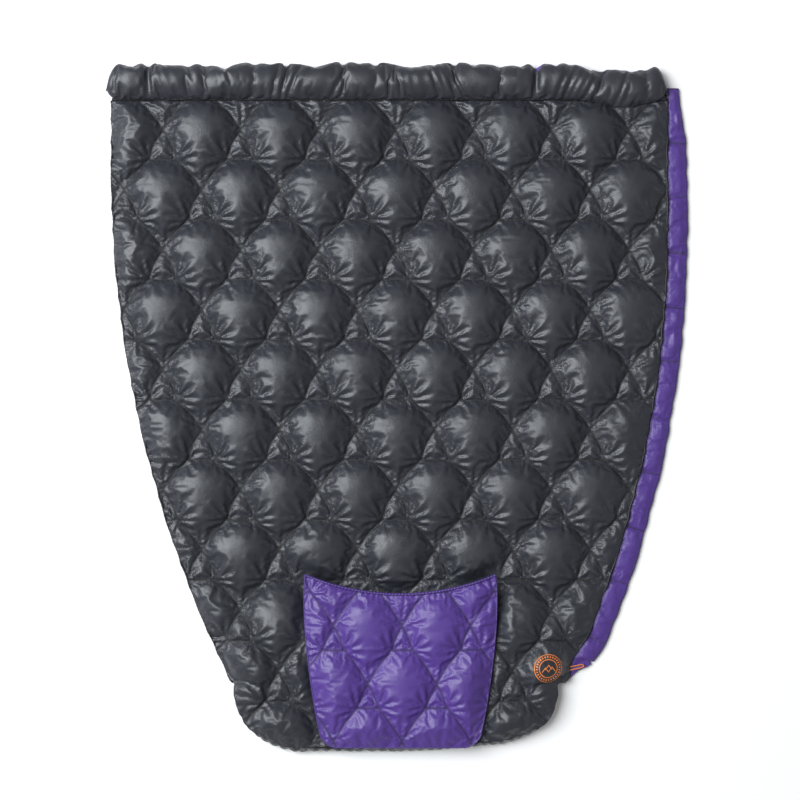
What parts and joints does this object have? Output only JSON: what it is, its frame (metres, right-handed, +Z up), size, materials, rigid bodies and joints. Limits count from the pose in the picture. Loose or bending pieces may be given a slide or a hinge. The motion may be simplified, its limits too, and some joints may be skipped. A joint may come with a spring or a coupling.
{
  "type": "camp quilt",
  "caption": "Quilted camp quilt lying flat, with a stuffed draft collar, foot pocket, side draft flap, padded hand pocket and strap loop.",
  "frame": {"origin": "on the underside, at mid-length, under the middle column of quilting crossings", "axes": "+Y from the foot to the head, +Z up from the floor that the quilt lies on, +X to the side with the draft flap"},
  "size_m": [1.543, 1.83, 0.0986],
  "materials": {
    "badge_print": "flat heat-pressed print",
    "charcoal_nylon": "calendered nylon taffeta, soft sheen",
    "dark_binding": "folded nylon binding",
    "down": "loose white down clusters",
    "elastic": "braided elastic",
    "orange_cord": "woven cord",
    "purple_binding": "folded nylon binding, gathered",
    "purple_nylon": "calendered nylon taffeta, soft sheen",
    "thread": "polyester sewing thread"
  },
  "bodies": {
    "quilt": {"badge": "badge_print", "collar_seam_tape": "dark_binding", "down_row_01": "down", "down_row_02": "down", "down_row_03": "down", "down_row_04": "down", "down_row_05": "down", "down_row_06": "down", "down_row_07": "down", "down_row_08": "down", "down_row_09": "down", "down_row_10": "down", "down_row_11": "down", "down_row_12": "down", "down_row_13": "down", "edge_binding_left": "dark_binding", "edge_binding_right": "dark_binding", "flap_down": "down", "flap_hem": "purple_nylon", "flap_lining": "purple_nylon", "flap_seam_tape": "dark_binding", "flap_shell": "charcoal_nylon", "foot_back_down": "down", "foot_back_hem": "dark_binding", "foot_back_lining": "purple_nylon", "foot_back_shell": "charcoal_nylon", "foot_gusset": "charcoal_nylon", "lining_panel": "purple_nylon", "pocket_seam": "purple_nylon", "quilting_thread": "thread", "shell_panel": "charcoal_nylon", "strap_loop_tack": "orange_cord"},
    "collar": {"collar_down": "down", "collar_elastic": "elastic", "collar_lining": "purple_nylon", "collar_shell": "charcoal_nylon"},
    "pocket": {"pocket_down": "down", "pocket_lining": "purple_nylon", "pocket_mouth_binding": "purple_binding", "pocket_mouth_elastic": "elastic", "pocket_shell": "purple_nylon", "pocket_side_tape": "purple_nylon", "pocket_thread": "thread"},
    "strap": {"strap_loop": "orange_cord"}
  },
  "joints": [
    {"name": "collar_fold", "type": "hinge", "parent": "quilt", "child": "collar", "pos_m": [0, 0.817, 0.038], "axis": [1, 0, 0], "range_deg": [0, 120]},
    {"name": "pocket_mouth", "type": "hinge", "parent": "quilt", "child": "pocket", "pos_m": [0.012, -0.903, 0.074], "axis": [1, 0, 0], "range_deg": [0, 20]},
    {"name": "strap_loop_swing", "type": "hinge", "parent": "quilt", "child": "strap", "pos_m": [0.461, -0.691, 0.0155], "axis": [0.2079, -0.9781, 0], "range_deg": [0, 90]}
  ]
}
